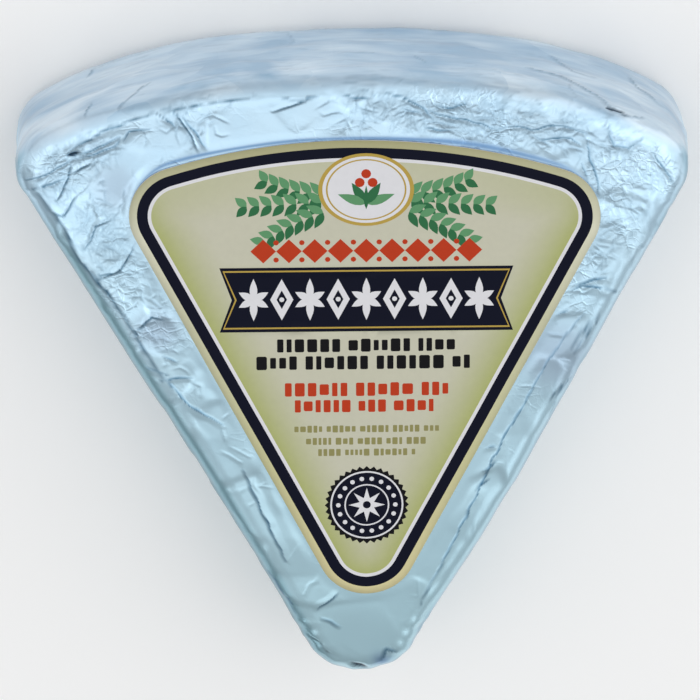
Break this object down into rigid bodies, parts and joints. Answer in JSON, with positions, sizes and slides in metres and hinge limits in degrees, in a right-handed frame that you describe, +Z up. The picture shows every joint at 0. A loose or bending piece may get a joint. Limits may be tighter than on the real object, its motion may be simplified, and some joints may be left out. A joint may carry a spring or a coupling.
{
  "type": "blue cheese wedge",
  "caption": "Wedge of blue cheese in creased pale blue foil, with a paper label on its face, lying on its flat back.",
  "frame": {"origin": "middle of the box's underside, on the surface that the wedge lies on", "axes": "+Z up out of the labelled face, +Y towards the curved rind, -Y towards the tip, X along the wedge's width"},
  "size_m": [0.1156, 0.1124, 0.0292],
  "materials": {
    "foil": "pale blue lacquered foil, glossy and creased",
    "label": "coated printed paper, satin"
  },
  "bodies": {
    "root": {"foil_wrap": "foil", "label": "label"}
  },
  "joints": []
}
